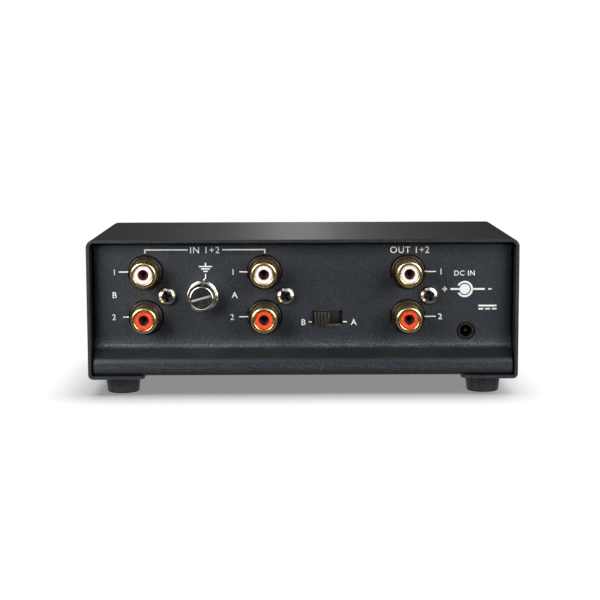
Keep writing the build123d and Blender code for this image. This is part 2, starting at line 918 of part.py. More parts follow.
def jack_contacts():
    """The upper contact's lead drops behind the lower one's."""
    contacts = []
    for x in jack_columns.values():
        contacts.append(make_jack_contact(x, lower_jack, housing_back + lower_lead_gap))
        contacts.append(make_jack_contact(x, upper_jack, housing_back + upper_lead_gap))
    return contacts


def jack_screws():
    screw = pan_screw(jack_screw_thread, jack_screw_length, jack_screw_head, jack_screw_head_height)
    screw -= cross_recess(jack_screw_head_height)
    turns = zip(jack_columns.values(), jack_screw_turns)
    return [outward(x + ear_offset, jack_screw_z) * Rot(0, 0, turn) * screw for x, turn in turns]


shell = make_jack_shell()
insert = make_jack_insert()
nodes = {
    "outer_cover": [make_cover()],
    "chassis_tray": [make_tray()],
    "front_fascia": [make_fascia()],
    "rubber_feet": [make_foot(x, y) for x, y in foot_spots],
    "foot_screws": make_foot_screws(),
    "tray_nuts": make_tray_nuts(),
    "fascia_screws": make_fascia_screws(),
    "board_standoffs": make_standoffs(),
    "board_screws": make_board_screws(),
    "ground_bush": [make_ground_bush()],
    "ground_lug": [make_ground_lug()],
    "ground_nut": [make_ground_nut()],
    "ground_washer": [make_ground_washer()],
    "ground_screw": [make_ground_screw()],
    "switch_can": [make_switch_can()],
    "switch_wafer": [make_switch_wafer()],
    "switch_terminals": make_switch_terminals(),
    "switch_slider": [make_switch_slider()],
    "switch_wipers": make_switch_wipers(),
    "socket_housing": [make_socket_housing()],
    "socket_pin": [make_socket_pin()],
    "socket_spring": [make_socket_spring()],
    "power_lamp": [make_lamp()],
    "film_capacitors": make_film_capacitors(),
    "can_capacitors": make_can_capacitors(),
    "amplifier_chips": make_amplifiers(),
    "resistors": make_resistors(),
    "transistors": make_transistors(),
    "regulators": make_regulators(),
    "diodes": make_diodes(),
    "jack_shells": [outward(x, z) * shell for x, z in jack_axes],
    "jack_inserts_white": [outward(x, upper_jack) * insert for x in jack_columns.values()],
    "jack_inserts_red": [outward(x, lower_jack) * insert for x in jack_columns.values()],
    "jack_contacts": jack_contacts(),
    "jack_housings": [make_jack_housing(x) for x in jack_columns.values()],
    "jack_straps": [make_jack_strap(x) for x in jack_columns.values()],
    "jack_screws": jack_screws(),
}
nodes["circuit_board"] = [make_board()]
for name, solids in nodes.items():
    save(name, *solids)
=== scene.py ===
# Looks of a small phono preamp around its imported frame. Metres: X along the connector side,
# Y from the connectors to the fascia, Z up. The dictionaries of the pieces are in millimetres.
import json
import math

import bmesh
import bpy
from mathutils import Matrix, Vector


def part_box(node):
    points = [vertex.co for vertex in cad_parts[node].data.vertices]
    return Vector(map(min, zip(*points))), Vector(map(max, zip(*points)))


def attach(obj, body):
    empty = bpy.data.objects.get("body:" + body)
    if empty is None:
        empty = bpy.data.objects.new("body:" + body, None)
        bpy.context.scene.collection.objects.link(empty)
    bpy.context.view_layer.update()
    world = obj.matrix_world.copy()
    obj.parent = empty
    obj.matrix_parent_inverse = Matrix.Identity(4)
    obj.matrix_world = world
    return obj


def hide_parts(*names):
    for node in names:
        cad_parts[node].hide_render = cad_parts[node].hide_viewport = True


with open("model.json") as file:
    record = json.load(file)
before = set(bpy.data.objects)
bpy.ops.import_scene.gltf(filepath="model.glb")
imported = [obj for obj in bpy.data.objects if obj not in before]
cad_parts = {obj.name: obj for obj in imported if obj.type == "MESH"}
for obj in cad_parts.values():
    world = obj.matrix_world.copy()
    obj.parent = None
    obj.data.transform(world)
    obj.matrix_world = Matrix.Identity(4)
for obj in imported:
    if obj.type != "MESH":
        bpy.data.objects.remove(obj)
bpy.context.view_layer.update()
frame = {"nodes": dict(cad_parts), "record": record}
nodes = frame["nodes"]
scene = bpy.context.scene
scene.view_settings.view_transform = "Standard"
mm = 0.001
smoothAngle = math.radians(32)  # edges that turn more stay sharp
slack = 1e-5  # metres, for telling whether a face lies beyond a plane
samePlace = 1e-7  # metres, closer than this is the same place
shellLength = 9.0  # from the connector panel to the rims of the jacks

# planes and places that come from the frame
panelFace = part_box("jack_shells")[0].y + shellLength * mm
bushLow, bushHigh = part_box("ground_bush")
earthAxis = Vector(((bushLow.x + bushHigh.x) / 2, panelFace, (bushLow.z + bushHigh.z) / 2))
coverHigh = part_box("outer_cover")[1]
jackSpots = [mount["pos_m"] for mount in frame["record"]["mounts"] if mount["name"].startswith("jack_")]
columns = sorted({spot[0] for spot in jackSpots})
lowerJack, upperJack = sorted({spot[2] for spot in jackSpots})


def camel(name):
    first, *others = name.split("_")
    return first + "".join(word.capitalize() for word in others)


def newFinish(name):
    finish = bpy.data.materials.new(name)
    finish.use_nodes = True
    return finish, finish.node_tree, finish.node_tree.nodes["Principled BSDF"]


def put(tree, kind, **values):
    # new node with its settings and inputs; an underscore stands for a space in an input's name
    node = tree.nodes.new(kind)
    for name, value in values.items():
        if hasattr(node, name):
            setattr(node, name, value)
        else:
            node.inputs[name.replace("_", " ")].default_value = value
    return node


def noise(tree, coords, size, detail=2.0, roughness=0.55):
    # size is the width of one grain
    texture = put(tree, "ShaderNodeTexNoise", Scale=1 / size, Detail=detail, Roughness=roughness)
    tree.links.new(coords, texture.inputs["Vector"])
    return texture.outputs["Fac"]


def ramp(tree, value, stops):
    node = put(tree, "ShaderNodeValToRGB")
    band = node.color_ramp
    while len(band.elements) < len(stops):
        band.elements.new(0.5)
    for element, (place, color) in zip(band.elements, stops):
        element.position = place
        element.color = (*color, 1)
    tree.links.new(value, node.inputs["Fac"])
    return node.outputs["Color"]


def greys(stops):
    return [(place, (level,) * 3) for place, level in stops]


def spread(tree, value, low, high, fromLow=0.3, fromHigh=0.7):
    node = put(tree, "ShaderNodeMapRange", From_Min=fromLow, From_Max=fromHigh, To_Min=low, To_Max=high)
    tree.links.new(value, node.inputs["Value"])
    return node.outputs["Result"]


def multiplied(tree, color, tone):
    # sockets 6 and 7 take a Mix node's colours and 2 gives the mixed one
    mix = put(tree, "ShaderNodeMix", data_type="RGBA", blend_type="MULTIPLY", Factor=1)
    tree.links.new(color, mix.inputs[6])
    tree.links.new(tone, mix.inputs[7])
    return mix.outputs[2]


def bump(tree, shader, height, depth, strength=1.0):
    node = put(tree, "ShaderNodeBump", Strength=strength, Distance=depth)
    tree.links.new(height, node.inputs["Height"])
    tree.links.new(node.outputs["Normal"], shader.inputs["Normal"])


powderCoat = {
    "tones": (
        (0.38, (0.0025, 0.003, 0.004)),
        (0.52, (0.0088, 0.0097, 0.0125)),
        (0.68, (0.064, 0.069, 0.084)),
    ),
    "grain": 0.3,
    "grainDetail": (3.0, 0.62),
    "patch": 9,
    "patchLevels": ((0.3, 0.9), (0.7, 1.08)),
    "roughness": (0.40, 0.50),
    "sheen": 0.78,
    "sheenTint": (0.79, 0.89, 1.0),
    "depth": 0.045,
    "bump": 0.6,
    "lacquer": 0.2,
    "lacquerRoughness": 0.3,
}

# painted light on the tray's coat from its lip up to the foot of the panel: heights, and how much lighter
# or darker the colour is painted between them, a painted highlight along the lip's top and along the
# panel's bottom bend, painted shade on the slope and on the lip's lower edge
bendPaintedLight = {
    "reach": (6.4, 19.4),
    "levels": (
        (0.05, 0.35),
        (0.13, 0.6),
        (0.2, 1.5),
        (0.262, 1.35),
        (0.32, 0.45),
        (0.615, 0.5),
        (0.66, 3.4),
        (0.74, 3.2),
        (0.846, 1.65),
        (1.0, 1.05),
    ),
}


def powderCoatFinish(name, tone=1.0, glow=None):
    # speckle in three tones with broad patches, under a thin rough lacquer
    look = powderCoat
    finish, tree, shader = newFinish(name)
    coords = put(tree, "ShaderNodeTexCoord").outputs["Object"]
    grain = noise(tree, coords, look["grain"] * mm, *look["grainDetail"])
    tones = [(place, [channel * tone for channel in color]) for place, color in look["tones"]]
    patch = ramp(tree, noise(tree, coords, look["patch"] * mm), greys(look["patchLevels"]))
    color = multiplied(tree, ramp(tree, grain, tones), patch)
    # glow paints light and shade into the colour by height: painted highlights and painted shade
    if glow:
        height = put(tree, "ShaderNodeSeparateXYZ")
        tree.links.new(coords, height.inputs[0])
        level = spread(tree, height.outputs["Z"], 0, 1, *(end * mm for end in glow["reach"]))
        color = multiplied(tree, color, ramp(tree, level, greys(glow["levels"])))
    tree.links.new(color, shader.inputs["Base Color"])
    tree.links.new(spread(tree, grain, *look["roughness"]), shader.inputs["Roughness"])
    shader.inputs["Specular IOR Level"].default_value = look["sheen"]
    shader.inputs["Specular Tint"].default_value = (*look["sheenTint"], 1)
    shader.inputs["Coat Weight"].default_value = look["lacquer"]
    shader.inputs["Coat Roughness"].default_value = look["lacquerRoughness"]
    bump(tree, shader, grain, look["depth"] * mm, look["bump"])
    return finish


# dark and light tone, width of a grain, roughness, depth of the bump, metallic share
grainedLooks = {
    "foot_rubber": ((0.022, 0.021, 0.020), (0.038, 0.036, 0.034), 0.3, (0.2, 0.3), 0.01, 0),
    "dark_nickel": ((0.36, 0.35, 0.34), (0.46, 0.45, 0.43), 1.2, (0.18, 0.26), 0.002, 1),
    "bright_nickel": ((0.56, 0.55, 0.53), (0.68, 0.66, 0.63), 1.5, (0.13, 0.18), 0.0015, 1),
    "zinc_steel": ((0.42, 0.43, 0.45), (0.58, 0.59, 0.60), 0.8, (0.28, 0.42), 0.01, 1),
    "tinned_brass": ((0.55, 0.54, 0.50), (0.68, 0.66, 0.60), 0.5, (0.25, 0.40), 0.01, 1),
    "spring_bronze": ((0.42, 0.24, 0.10), (0.55, 0.34, 0.16), 0.6, (0.25, 0.40), 0.008, 1),
    "gold_plate": ((0.68, 0.49, 0.23), (0.80, 0.60, 0.32), 2.0, (0.23, 0.29), 0.0015, 1),
    "board_laminate": ((0.008, 0.075, 0.026), (0.013, 0.110, 0.040), 0.9, (0.3, 0.45), 0.01, 0),
    "phenolic_board": ((0.12, 0.05, 0.02), (0.19, 0.09, 0.035), 0.5, (0.45, 0.6), 0.01, 0),
    "jack_moulding": ((0.006, 0.006, 0.006), (0.012, 0.012, 0.013), 0.35, (0.30, 0.45), 0.01, 0),
    "switch_plastic": ((0.010, 0.009, 0.008), (0.022, 0.019, 0.017), 0.25, (0.28, 0.42), 0.012, 0),
    "white_insert": ((0.86, 0.84, 0.86), (0.94, 0.92, 0.94), 1.1, (0.25, 0.38), 0.006, 0),
    "red_insert": ((0.82, 0.055, 0.012), (0.92, 0.095, 0.022), 1.1, (0.22, 0.34), 0.006, 0),
    "lamp_epoxy": ((0.10, 0.22, 0.62), (0.16, 0.30, 0.72), 0.8, (0.08, 0.14), 0.003, 0),
    "film_case": ((0.42, 0.025, 0.015), (0.52, 0.040, 0.024), 0.6, (0.3, 0.45), 0.01, 0),
    "capacitor_sleeve": ((0.012, 0.015, 0.035), (0.022, 0.026, 0.055), 0.8, (0.2, 0.3), 0.008, 0),
    "chip_epoxy": ((0.010, 0.010, 0.010), (0.020, 0.020, 0.020), 0.2, (0.5, 0.65), 0.01, 0),
    "chip_ceramic": ((0.018, 0.018, 0.020), (0.035, 0.035, 0.038), 0.2, (0.4, 0.6), 0.01, 0),
    # for faces and pieces with a look of their own within a slot; the dark copies among them are painted
    # shade, on the jacks' flanges, the jack contacts, the socket's pin and spring, the switch can, the
    # feet's bottom band, the screws' crosses and the plate behind the switch knob
    "shadedGold": ((0.075, 0.065, 0.05), (0.115, 0.10, 0.08), 2.0, (0.28, 0.36), 0.0015, 1),
    "contactBrown": ((0.035, 0.014, 0.012), (0.06, 0.028, 0.024), 0.5, (0.5, 0.6), 0.005, 0.2),
    "shadedPin": ((0.10, 0.06, 0.05), (0.16, 0.10, 0.08), 0.5, (0.35, 0.45), 0.005, 1),
    "boreLining": ((0.34, 0.008, 0.020), (0.48, 0.014, 0.032), 0.6, (0.3, 0.45), 0.006, 0),
    "printInk": ((0.72, 0.78, 0.76), (0.84, 0.89, 0.87), 0.3, (0.5, 0.65), 0.004, 0),
    "slotSteel": ((0.62, 0.68, 0.70), (0.74, 0.80, 0.82), 0.3, (0.4, 0.55), 0.004, 0.2),
    "shadedRubber": ((0.004, 0.004, 0.004), (0.007, 0.007, 0.007), 0.3, (0.6, 0.75), 0.01, 0),
    "agedZinc": ((0.13, 0.10, 0.065), (0.20, 0.16, 0.11), 0.6, (0.35, 0.5), 0.008, 0.6),
    "recessSteel": ((0.010, 0.010, 0.010), (0.020, 0.020, 0.019), 0.3, (0.25, 0.4), 0.004, 0.3),
}
grainEnds = (0.32, 0.68)  # where the grain has turned quite dark and quite light


def grainedFinish(name, dark, light, grain, roughness, depth, metallic):
    # two tones and two roughnesses that follow one grain, with a fine bump
    finish, tree, shader = newFinish(name)
    coords = put(tree, "ShaderNodeTexCoord").outputs["Object"]
    value = noise(tree, coords, grain * mm, detail=3.0)
    tones = zip(grainEnds, (dark, light))
    tree.links.new(ramp(tree, value, list(tones)), shader.inputs["Base Color"])
    tree.links.new(spread(tree, value, *roughness), shader.inputs["Roughness"])
    shader.inputs["Metallic"].default_value = metallic
    bump(tree, shader, value, depth * mm)
    return finish


finishes = {
    "case_coat": powderCoatFinish("caseCoat"),
    "fascia_coat": powderCoatFinish("fasciaCoat", tone=0.85),
    # the tray's coat carries painted highlights and painted shade along its lip and bend
    "trayCoat": powderCoatFinish("trayCoat", glow=bendPaintedLight),
}
for name, look in grainedLooks.items():
    finishes[name] = grainedFinish(camel(name), *look)

# pieces that lie deep in their openings get darker finishes: painted shade
deepSet = {"socket_pin": "shadedPin", "socket_spring": "shadedPin", "switch_can": "agedZinc"}
for subpart in frame["record"]["subparts"]:
    mesh = nodes[subpart["node"]].data
    mesh.materials.clear()
    mesh.materials.append(finishes[deepSet.get(subpart["node"], subpart["material_slot"])])
print("finishes ready:", len(finishes))


def outwardMatrix(x, z, out=0.0):
    # puts a piece drawn about Z on the connector panel, with its Z out of the case
    return Matrix(((1, 0, 0, x), (0, 0, -1, panelFace - out), (0, 1, 0, z), (0, 0, 0, 1)))


def rounded(corners, steps=4, rest=0.03):
    # corners are (x, y, fillet) of a closed outline; a short rest beside each fillet keeps the flats flat
    spots = [Vector(corner[:2]) for corner in corners]
    count = len(corners)
    reach = []
    for index, corner in enumerate(corners):
        before = spots[index - 1] - spots[index]
        after = spots[(index + 1) % count] - spots[index]
        reach.append(corner[2] / math.tan(before.angle(after) / 2))
    outline = []
    for index, here in enumerate(spots):
        fillet = corners[index][2]
        if fillet == 0:
            outline.append(here)
            continue
        before = spots[index - 1] - here
        after = spots[(index + 1) % count] - here
        roomBefore = before.length - reach[index] - reach[index - 1]
        roomAfter = after.length - reach[index] - reach[(index + 1) % count]
        before.normalize()
        after.normalize()
        centre = here + (before + after).normalized() * fillet / math.sin(before.angle(after) / 2)
        start = here + before * reach[index] - centre
        turn = start.angle_signed(here + after * reach[index] - centre)
        if roomBefore > 3 * rest:
            outline.append(here + before * (reach[index] + rest))
        for step in range(steps + 1):
            outline.append(centre + Matrix.Rotation(-turn * step / steps, 2) @ start)
        if roomAfter > 3 * rest:
            outline.append(here + after * (reach[index] + rest))
    return outline


def lathe(name, corners, sides=72, steps=4):
    # solid of revolution about Z, closed through its bore where it has one
    body = bmesh.new()
    turn = 2 * math.pi / sides
    rings = []
    for point in rounded(corners, steps):
        r, h = point * mm
        count = 1 if r < samePlace else sides
        ring = [(r * math.cos(turn * i), r * math.sin(turn * i), h) for i in range(count)]
        rings.append([body.verts.new(spot) for spot in ring])
    pairs = list(zip(rings, rings[1:]))
    if min(corner[0] for corner in corners) > 0:
        pairs.append((rings[-1], rings[0]))
    for low, high in pairs:
        for i in range(sides):
            j = (i + 1) % sides
            face = [low[i % len(low)], low[j % len(low)], high[j % len(high)], high[i % len(high)]]
            face = list(dict.fromkeys(face))
            if len(face) > 2:
                body.faces.new(face)
    return meshObject(name, body)


def slab(name, low, high, edge=0.0):
    # box between two corners with rounded edges, in metres
    body = bmesh.new()
    bmesh.ops.create_cube(body, size=1)
    bmesh.ops.scale(body, vec=Vector(high) - Vector(low), verts=body.verts)
    bmesh.ops.translate(body, vec=(Vector(high) + Vector(low)) / 2, verts=body.verts)
    if edge:
        bmesh.ops.bevel(body, geom=body.edges, offset=edge, segments=2, profile=0.5, affect="EDGES")
    return meshObject(name, body)


def upright(body, low, high):
    # walls and ends between two matching rings of points
    under = [body.verts.new(spot) for spot in low]
    over = [body.verts.new(spot) for spot in high]
    body.faces.new(under)
    body.faces.new(over)
    for i in range(len(under)):
        j = (i + 1) % len(under)
        body.faces.new((under[i], under[j], over[j], over[i]))


def prism(name, outline, low, high, edge):
    # outline in the x, y plane drawn up from low to high, in metres, with rounded ends
    body = bmesh.new()
    upright(body, [(x, y, low) for x, y in outline], [(x, y, high) for x, y in outline])
    rims = [rim for rim in body.edges if abs(rim.verts[0].co.z - rim.verts[1].co.z) < samePlace]
    bmesh.ops.bevel(
        body, geom=rims, offset=edge, segments=2, profile=0.5, affect="EDGES", clamp_overlap=True
    )
    return meshObject(name, body)


def meshObject(name, body):
    bmesh.ops.recalc_face_normals(body, faces=body.faces)
    mesh = bpy.data.meshes.new(name)
    body.to_mesh(mesh)
    body.free()
    return shown(name, mesh)


def shown(name, mesh):
    mesh.shade_smooth()
    mesh.set_sharp_from_angle(angle=smoothAngle)
    piece = bpy.data.objects.new(name, mesh)
    scene.collection.objects.link(piece)
    return piece


def evaluated(source):
    # plain mesh of an object as its modifiers or its text make it
    bpy.context.view_layer.update()
    return bpy.data.meshes.new_from_object(source.evaluated_get(bpy.context.evaluated_depsgraph_get()))


def settle(piece, sharpen=True):
    mesh = evaluated(piece)
    piece.modifiers.clear()
    piece.data = mesh
    if sharpen:
        mesh.set_sharp_from_angle(angle=smoothAngle)


def carve(piece, *cutters):
    for cutter in cutters:
        modifier = piece.modifiers.new("carve", "BOOLEAN")
        modifier.object = cutter
        modifier.solver = "EXACT"
    settle(piece)
    for cutter in cutters:
        bpy.data.objects.remove(cutter)


def markShadeOrSlot(piece, inside):
    # marks the faces for which inside(centre, normal) holds, for a second finish: painted shade, or the
    # earth screw's slot
    marks = piece.data.attributes.new("recess", "BOOLEAN", "FACE")
    for face, mark in zip(piece.data.polygons, marks.data):
        mark.value = inside(face.center, face.normal)


def finishPiece(piece, body, finish, slotName, *replaced, recess=None):
    # the last argument is the finish of the marked faces: painted shade, or the earth screw's slot
    mesh = piece.data
    mesh.materials.clear()
    mesh.materials.append(finishes[finish])
    if recess:
        mesh.materials.append(finishes[recess])
        for face, mark in zip(mesh.polygons, mesh.attributes["recess"].data):
            face.material_index = int(mark.value)
    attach(piece, body)
    if replaced:
        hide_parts(*replaced)


def repeatTree():
    # sets a piece out at marked places, in rows
    tree = bpy.data.node_groups.new("setOut", "GeometryNodeTree")
    face = tree.interface
    face.new_socket("Geometry", in_out="OUTPUT", socket_type="NodeSocketGeometry")
    face.new_socket("Geometry", in_out="INPUT", socket_type="NodeSocketGeometry")
    face.new_socket("Piece", in_out="INPUT", socket_type="NodeSocketObject")
    face.new_socket("Rows", in_out="INPUT", socket_type="NodeSocketInt").default_value = 1
    face.new_socket("Row step", in_out="INPUT", socket_type="NodeSocketVector")
    face.new_socket("Finish", in_out="INPUT", socket_type="NodeSocketMaterial")
    start = put(tree, "NodeGroupInput")
    end = put(tree, "NodeGroupOutput")
    row = put(tree, "GeometryNodeMeshLine")
    onPlaces = put(tree, "GeometryNodeInstanceOnPoints")
    rowsMade = put(tree, "GeometryNodeRealizeInstances")
    source = put(tree, "GeometryNodeObjectInfo")
    turn = put(tree, "GeometryNodeInputNamedAttribute", data_type="FLOAT_VECTOR", Name="turn")
    onRows = put(tree, "GeometryNodeInstanceOnPoints")
    made = put(tree, "GeometryNodeRealizeInstances")
    coat = put(tree, "GeometryNodeSetMaterial")
    link = tree.links.new
    link(start.outputs["Rows"], row.inputs["Count"])
    link(start.outputs["Row step"], row.inputs["Offset"])
    link(start.outputs["Geometry"], onPlaces.inputs["Points"])
    link(row.outputs["Mesh"], onPlaces.inputs["Instance"])
    link(onPlaces.outputs["Instances"], rowsMade.inputs["Geometry"])
    link(rowsMade.outputs["Geometry"], onRows.inputs["Points"])
    link(start.outputs["Piece"], source.inputs["Object"])
    link(source.outputs["Geometry"], onRows.inputs["Instance"])
    link(turn.outputs["Attribute"], onRows.inputs["Rotation"])
    link(onRows.outputs["Instances"], made.inputs["Geometry"])
    link(made.outputs["Geometry"], coat.inputs["Geometry"])
    link(start.outputs["Finish"], coat.inputs["Material"])
    link(coat.outputs["Geometry"], end.inputs["Geometry"])
    return tree


setOut = repeatTree()


def repeat(name, piece, places, finish, turns=None, rows=1, rowStep=(0, 0, 0)):
    # one mesh of the piece at every place; turns are Euler angles
    mesh = bpy.data.meshes.new(name)
    mesh.from_pydata([tuple(spot) for spot in places], [], [])
    angles = mesh.attributes.new("turn", "FLOAT_VECTOR", "POINT")
    for index in range(len(places)):
        angles.data[index].vector = turns[index] if turns else (0, 0, 0)
    group = bpy.data.objects.new(name, mesh)
    scene.collection.objects.link(group)
    modifier = group.modifiers.new("setOut", "NODES")
    modifier.node_group = setOut
    values = {"Piece": piece, "Rows": rows, "Row step": rowStep, "Finish": finishes[finish]}
    for item in setOut.interface.items_tree:
        if item.in_out == "INPUT" and item.name in values:
            modifier[item.identifier] = values[item.name]
    settle(group)
    bpy.data.objects.remove(piece)
    return group


jack = {
    "length": shellLength,
    "barrel": 4.15,
    "bore": 2.88,
    "rimOuter": 0.82,
    "rimInner": 0.36,
    "foot": 0.12,  # fillet between barrel and flange
    "flange": 5.175,
    "flangeBack": -1.0,
    "flangeFront": 1.5,
    "flangeEdge": 0.22,
    "flangeShade": 0.05,  # how far the painted shade of the flange goes up the barrel
    "tail": -6.0,
    "tailRadius": 3.5,
    "insert": 2.85,
    "insertFront": 8.5,
    "insertEdge": 0.2,
    "pinHole": 1.675,
    "mouthEdge": 0.12,
    "lining": (-0.08, 0.02),  # its faces from the pin hole's wall
    "liningSetback": 0.2,
    "sleeveWall": 0.1,
    "sleeveBack": 1.0,
    "fingers": 6.7,
    "fingerTips": 0.5,
    "fingerWall": 0.15,
    "fingerLength": 1.0,
    "fingerEdge": 0.1,
}


def jackShell():
    d = jack
    shell = lathe(
        "jackShell",
        [
            (d["bore"], d["tail"], 0),
            (d["tailRadius"], d["tail"], 0),
            (d["tailRadius"], d["flangeBack"], 0),
            (d["flange"], d["flangeBack"], 0),
            (d["flange"], d["flangeFront"], d["flangeEdge"]),
            (d["barrel"], d["flangeFront"], d["foot"]),
            (d["barrel"], d["length"], d["rimOuter"]),
            (d["bore"], d["length"], d["rimInner"]),
        ],
        sides=96,
        steps=6,
    )
    barrelStart = (d["flangeFront"] + d["flangeShade"]) * mm
    # the flange and the foot of the barrel are marked for a darker copy of the gold: painted shade
    markShadeOrSlot(shell, lambda spot, facing: spot.z < barrelStart)
    return shell


def jackInsert():
    d = jack
    return lathe(
        "jackInsert",
        [
            (d["pinHole"], d["tail"], 0),
            (d["insert"], d["tail"], 0),
            (d["insert"], d["insertFront"], d["insertEdge"]),
            (d["pinHole"], d["insertFront"], d["mouthEdge"]),
        ],
    )


def jackLining():
    # red wall of the pin hole, in front of the contact
    d = jack
    inside, outside = (d["pinHole"] + offset for offset in d["lining"])
    mouth = d["insertFront"] - d["liningSetback"]
    return lathe(
        "jackLining",
        [(inside, d["fingers"], 0), (outside, d["fingers"], 0), (outside, mouth, 0), (inside, mouth, 0)],
        sides=48,
    )


def jackSleeve():
    # contact sleeve that narrows behind its mouth
    d = jack
    tips = d["fingers"] - d["fingerLength"]
    return lathe(
        "jackSleeve",
        [
            (d["fingerTips"], tips, d["fingerEdge"]),
            (d["pinHole"] - d["sleeveWall"], d["fingers"], 0),
            (d["pinHole"], d["fingers"], 0),
            (d["fingerTips"] + d["fingerWall"], tips, d["fingerEdge"]),
            (d["pinHole"], d["sleeveBack"], 0),
            (d["pinHole"] - d["sleeveWall"], d["sleeveBack"], 0),
        ],
        sides=48,
    )


def makeJacks():
    shell, insert, lining, sleeve = jackShell(), jackInsert(), jackLining(), jackSleeve()
    for piece in (shell, insert, lining, sleeve):
        piece.data.transform(outwardMatrix(0, 0))
    redInsert = insert.copy()
    redInsert.data = insert.data.copy()
    scene.collection.objects.link(redInsert)
    low = [(x, 0, lowerJack) for x in columns]
    high = [(x, 0, upperJack) for x in columns]
    rows = {"rows": 2, "rowStep": (0, 0, upperJack - lowerJack)}
    shells = repeat("jackShells", shell, low, "gold_plate", **rows)
    # the flange gets painted shade
    finishPiece(shells, "case", "gold_plate", "gold_plate", "jack_shells", recess="shadedGold")
    white = repeat("jackInsertsWhite", insert, high, "white_insert")
    finishPiece(white, "case", "white_insert", "white_insert", "jack_inserts_white")
    red = repeat("jackInsertsRed", redInsert, low, "red_insert")
    finishPiece(red, "case", "red_insert", "red_insert", "jack_inserts_red")
    linings = repeat("jackLinings", lining, low, "boreLining", **rows)
    finishPiece(linings, "case", "boreLining", "red_insert")
    # the contact sleeves get a dark copy of the bronze: painted shade deep in the pin holes
    sleeves = repeat("jackSleeves", sleeve, low, "contactBrown", **rows)
    finishPiece(sleeves, "case", "contactBrown", "spring_bronze")
    print("jacks made:", 2 * len(columns))


makeJacks()

jackScrew = {
    "head": 2.95,
    "height": 1.9,
    "dome": ((1, 0.45, 0.3), (0.86, 0.8, 0.7), (0.55, 0.98, 1.0)),  # share of radius, of height, fillet
    "thread": 1.25,
    "length": 6.5,
    "turns": (12.0, 38.0, 20.0),
    "crossDepth": 1.3,
    "crossFloor": (2.09, 0.62),  # length and width of an arm at its floor
    "crossTop": (3.99, 1.1),  # and just over the head
    "crossRise": 0.3,
    "crossReach": 2.0,
    "crossWalls": 0.6,  # faces that look outwards more than this aren't walls of the cross
}


def crossCutter(d):
    # tapered cross, wide at the top
    cutters = []
    for index in range(2):
        body = bmesh.new()
        bmesh.ops.create_cube(body, size=1)
        for vertex in body.verts:
            low = vertex.co.z < 0
            length, width = d["crossFloor"] if low else d["crossTop"]
            vertex.co.x *= length * mm
            vertex.co.y *= width * mm
            vertex.co.z = (d["height"] - d["crossDepth"] if low else d["height"] + d["crossRise"]) * mm
        bmesh.ops.rotate(body, verts=body.verts, matrix=Matrix.Rotation(math.pi / 2 * index, 3, "Z"))
        cutters.append(meshObject("crossArm", body))
    return cutters


def makeJackScrews():
    d = jackScrew
    low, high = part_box("jack_screws")
    middle = (low.z + high.z) / 2
    offset = (low.x + high.x) / 2 - (columns[0] + columns[-1]) / 2
    screw = lathe(
        "jackScrew",
        [
            (0, -d["length"], 0),
            (d["thread"], -d["length"], 0),
            (d["thread"], 0, 0),
            (d["head"], 0, 0),
            *((d["head"] * across, d["height"] * up, fillet) for across, up, fillet in d["dome"]),
            (0, d["height"], 0),
        ],
    )
    carve(screw, *crossCutter(d))
    floor = (d["height"] - d["crossDepth"]) * mm
    # the cross's walls and floor are marked for a near-black finish: painted shade
    markShadeOrSlot(
        screw,
        lambda spot, facing: spot.z > floor - slack
        and spot.xy.length < d["crossReach"] * mm
        and (facing.z < d["crossWalls"] or spot.z < floor + slack),
    )
    screw.data.transform(outwardMatrix(0, 0))
    spots = [(x + offset, 0, middle) for x in columns]
    turns = [(0, -math.radians(angle), 0) for angle in d["turns"]]
    screws = repeat("jackScrews", screw, spots, "dark_nickel", turns=turns)
    finishPiece(screws, "case", "dark_nickel", "dark_nickel", "jack_screws", recess="recessSteel")
    print("jack screws made")


makeJackScrews()

earth = {
    "bushFlange": 5.0,
    "bushThickness": 1.2,
    "bushEdge": 0.35,
    "bush": 3.0,
    "bushEnd": -7.0,
    "bushEndEdge": 0.3,
    "bore": 2.0,
    "washer": 4.8,
    "washerBore": 2.2,
    "washerThickness": 0.8,
    "washerEdges": (0.1, 0.3),
    "head": 4.45,
    "headFace": 3.55,
    "headLength": 5.0,
    "headEdges": (0.25, 0.5, 0.45),
    "shoulder": 1.1,
    "shank": 1.95,
    "shankEdge": 0.2,
    "threadLength": 7.4,
    "slotWidth": 0.6,
    "slotReach": 3.2,
    "slotDepth": 1.2,
    "slotTurn": 15.0,
}


def earthBush(d):
    return lathe(
        "earthBush",
        [
            (d["bore"], d["bushEnd"], 0),
            (d["bush"], d["bushEnd"], d["bushEndEdge"]),
            (d["bush"], 0, 0),
            (d["bushFlange"], 0, 0),
            (d["bushFlange"], d["bushThickness"], d["bushEdge"]),
            (d["bore"], d["bushThickness"], 0),
        ],
    )


def earthWasher(d, seat):
    backEdge, frontEdge = d["washerEdges"]
    front = seat + d["washerThickness"]
    return lathe(
        "earthWasher",
        [
            (d["washerBore"], seat, 0),
            (d["washer"], seat, backEdge),
            (d["washer"], front, frontEdge),
            (d["washerBore"], front, 0),
        ],
    )


